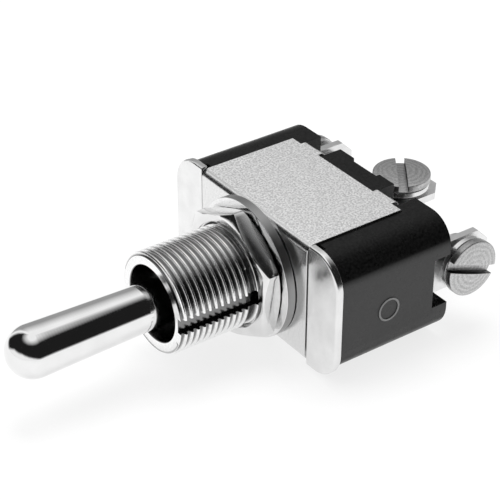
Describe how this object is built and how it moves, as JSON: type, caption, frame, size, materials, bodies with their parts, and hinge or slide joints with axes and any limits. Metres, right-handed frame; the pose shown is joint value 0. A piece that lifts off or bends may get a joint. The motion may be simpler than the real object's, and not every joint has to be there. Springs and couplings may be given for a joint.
{
  "type": "panel toggle switch",
  "caption": "Bushing-mounted panel toggle switch with a bat lever, centre-off rocker contacts, a folded metal frame, a black moulded housing and screw terminals.",
  "frame": {"origin": "where the bushing's axis meets the front face of the folded frame", "axes": "+X along the bushing and the centred lever, out of the panel; +Y along the row of terminals; +Z out of the frame's upper plate"},
  "size_m": [0.0571, 0.0308, 0.0166],
  "materials": {
    "bat_lever": "bright chrome plate",
    "bushing": "bright nickel plate, darkened bore",
    "frame": "bright nickel plate on steel sheet",
    "face_plate": "bright nickel plate on steel sheet",
    "mounting_hardware": "bright nickel plate",
    "terminals": "bright tin plate on brass",
    "screws": "nickel plate with turning marks",
    "screw_washers": "nickel plate",
    "housing": "moulded black phenolic, satin",
    "insulator": "vulcanised fibre",
    "plunger": "natural nylon",
    "inner_steel": "plain steel",
    "inner_brass": "plain brass",
    "contacts": "silver"
  },
  "bodies": {
    "root": {"frame": "frame", "face_plate": "face_plate", "housing": "housing", "insulator_sheet": "insulator", "bushing": "bushing", "lever_retainer": "inner_steel", "rocker_cradle": "inner_brass", "cradle_rivet": "inner_brass", "terminal_centre": "terminals", "terminal_right": "terminals", "terminal_left": "terminals", "fixed_contact_right": "contacts", "fixed_contact_left": "contacts"},
    "lever": {"lever": "bat_lever", "lever_pin": "inner_steel", "plunger_spring": "inner_steel"},
    "plunger": {"plunger": "plunger"},
    "rocker": {"rocker": "inner_brass", "moving_contact_right": "contacts", "moving_contact_left": "contacts"},
    "lock_washer": {"lock_washer": "mounting_hardware"},
    "hex_nut": {"hex_nut": "mounting_hardware"},
    "screw_washer_centre": {"screw_washer_centre": "screw_washers"},
    "screw_centre": {"screw_centre": "screws"},
    "screw_washer_right": {"screw_washer_right": "screw_washers"},
    "screw_right": {"screw_right": "screws"},
    "screw_washer_left": {"screw_washer_left": "screw_washers"},
    "screw_left": {"screw_left": "screws"}
  },
  "joints": [
    {"name": "lever_tilt", "type": "hinge", "parent": "root", "child": "lever", "pos_m": [0.0065, 0, 0], "axis": [0, 0, 1], "range_deg": [-13, 13]},
    {"name": "rocker_tilt", "type": "hinge", "parent": "root", "child": "rocker", "pos_m": [-0.00895, 0, 0], "axis": [0, 0, 1], "range_deg": [-8.35, 8.35]},
    {"name": "plunger_slide", "type": "slide", "parent": "lever", "child": "plunger", "axis": [1, 0, 0], "range_m": [0, 0.0015], "stiffness_N_per_m": 400, "springref_m": -0.004, "deforming": ["plunger_spring"]},
    {"name": "nut_travel", "type": "slide", "parent": "root", "child": "lock_washer", "axis": [1, 0, 0], "range_m": [0, 0.009]},
    {"name": "nut_turn", "type": "hinge", "parent": "lock_washer", "child": "hex_nut", "pos_m": [0.0025, 0, 0], "axis": [1, 0, 0], "range_deg": [0, 4091]},
    {"name": "screw_centre_travel", "type": "slide", "parent": "root", "child": "screw_washer_centre", "axis": [0, 0, 1], "range_m": [-0.0006, 0.003]},
    {"name": "screw_centre_turn", "type": "hinge", "parent": "screw_washer_centre", "child": "screw_centre", "pos_m": [-0.0216, 0, 0.0025], "axis": [0, 0, 1], "range_deg": [-281.2, 1369.7]},
    {"name": "screw_right_travel", "type": "slide", "parent": "root", "child": "screw_washer_right", "axis": [0, 1, 0], "range_m": [-0.00025, 0.003]},
    {"name": "screw_right_turn", "type": "hinge", "parent": "screw_washer_right", "child": "screw_right", "pos_m": [-0.0197, 0.0128, 0], "axis": [0, 1, 0], "range_deg": [-122.5, 1369.7]},
    {"name": "screw_left_travel", "type": "slide", "parent": "root", "child": "screw_washer_left", "axis": [0, -1, 0], "range_m": [-0.00025, 0.003]},
    {"name": "screw_left_turn", "type": "hinge", "parent": "screw_washer_left", "child": "screw_left", "pos_m": [-0.0197, -0.0128, 0], "axis": [0, -1, 0], "range_deg": [-122.5, 1369.7]}
  ],
  "couplings": [
    {"joint": "rocker_tilt", "follows": "lever_tilt", "ratio": -0.63846},
    {"joint": "nut_turn", "follows": "nut_travel", "rad_per_m": 7915.8},
    {"joint": "screw_centre_turn", "follows": "screw_centre_travel", "rad_per_m": 7915.8},
    {"joint": "screw_right_turn", "follows": "screw_right_travel", "rad_per_m": 7915.8},
    {"joint": "screw_left_turn", "follows": "screw_left_travel", "rad_per_m": 7915.8}
  ]
}
